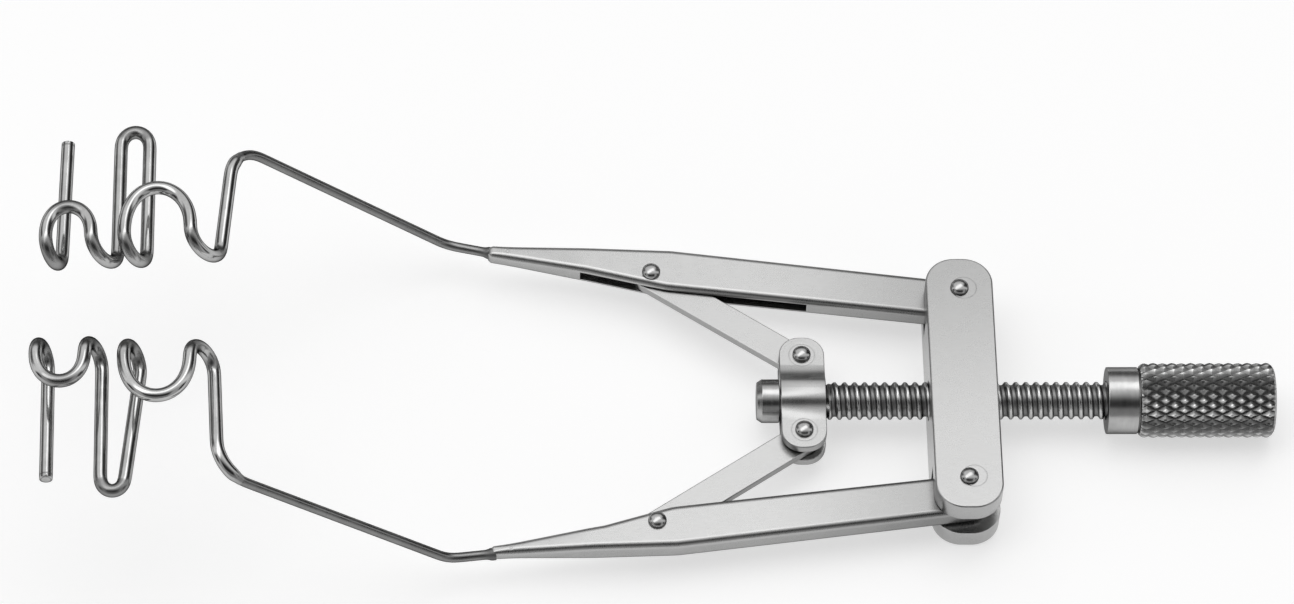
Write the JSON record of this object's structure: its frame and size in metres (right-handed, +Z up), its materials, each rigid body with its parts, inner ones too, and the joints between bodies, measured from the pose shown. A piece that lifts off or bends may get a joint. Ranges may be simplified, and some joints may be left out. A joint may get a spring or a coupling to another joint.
{
  "type": "eye speculum",
  "caption": "Adjustable wire eye speculum: a knurled screw slides a yoke whose links spread hinged arms with bent wire lid blades.",
  "frame": {"origin": "middle of the cross bar's underside, straight below the screw's axis", "axes": "+X along the screw towards the knob, +Y across towards the upper arm, +Z up to the side where the wires arch under the lids"},
  "size_m": [0.0782, 0.0273, 0.0158],
  "materials": {
    "satin_plate": "satin",
    "turned_steel": "fine turned, with a diamond knurl on the grip",
    "polished_wire": "polished",
    "shank_steel": "satin",
    "rivet_steel": "polished"
  },
  "bodies": {
    "bar": {"cross_bar": "satin_plate", "bar_rivet_upper": "rivet_steel", "bar_rivet_lower": "rivet_steel"},
    "yoke": {"strap_front": "satin_plate", "strap_rear": "satin_plate", "yoke_rivet_upper": "rivet_steel", "yoke_rivet_lower": "rivet_steel"},
    "screw": {"screw": "turned_steel", "knob": "turned_steel"},
    "arm_upper": {"arm_upper": "satin_plate", "shank_upper": "shank_steel", "lid_wire_upper": "polished_wire", "arm_rivet_upper": "rivet_steel"},
    "arm_lower": {"arm_lower": "satin_plate", "shank_lower": "shank_steel", "lid_wire_lower": "polished_wire", "arm_rivet_lower": "rivet_steel"},
    "link_upper": {"link_upper": "satin_plate"},
    "link_lower": {"link_lower": "satin_plate"}
  },
  "joints": [
    {"name": "screw_turn", "type": "hinge", "parent": "yoke", "child": "screw", "pos_m": [0, 0, 0.00232], "axis": [1, 0, 0], "range_deg": [-1293.77, 281.27]},
    {"name": "yoke_slide", "type": "slide", "parent": "bar", "child": "yoke", "axis": [1, 0, 0], "range_m": [-0.0023, 0.0005]},
    {"name": "arm_spread_upper", "type": "hinge", "parent": "bar", "child": "arm_upper", "pos_m": [0, 0.00704, 0.00232], "axis": [0, 0, -1], "range_deg": [-1.97, 9.01]},
    {"name": "link_swing_upper", "type": "hinge", "parent": "yoke", "child": "link_upper", "pos_m": [-0.01015, 0.00279, 0.00232], "axis": [0, 0, -1], "range_deg": [-4.55, 20.9]},
    {"name": "arm_spread_lower", "type": "hinge", "parent": "bar", "child": "arm_lower", "pos_m": [0, -0.00704, 0.00232], "axis": [0, 0, 1], "range_deg": [-1.97, 9.01]},
    {"name": "link_swing_lower", "type": "hinge", "parent": "yoke", "child": "link_lower", "pos_m": [-0.01015, -0.00279, 0.00232], "axis": [0, 0, 1], "range_deg": [-4.55, 20.9]}
  ],
  "couplings": [
    {"joint": "screw_turn", "follows": "yoke_slide", "rad_per_m": 9817.5},
    {"joint": "arm_spread_upper", "follows": "yoke_slide", "rad_per_m": -68.331},
    {"joint": "link_swing_upper", "follows": "yoke_slide", "rad_per_m": -158.5},
    {"joint": "arm_spread_lower", "follows": "yoke_slide", "rad_per_m": -68.331},
    {"joint": "link_swing_lower", "follows": "yoke_slide", "rad_per_m": -158.5}
  ]
}
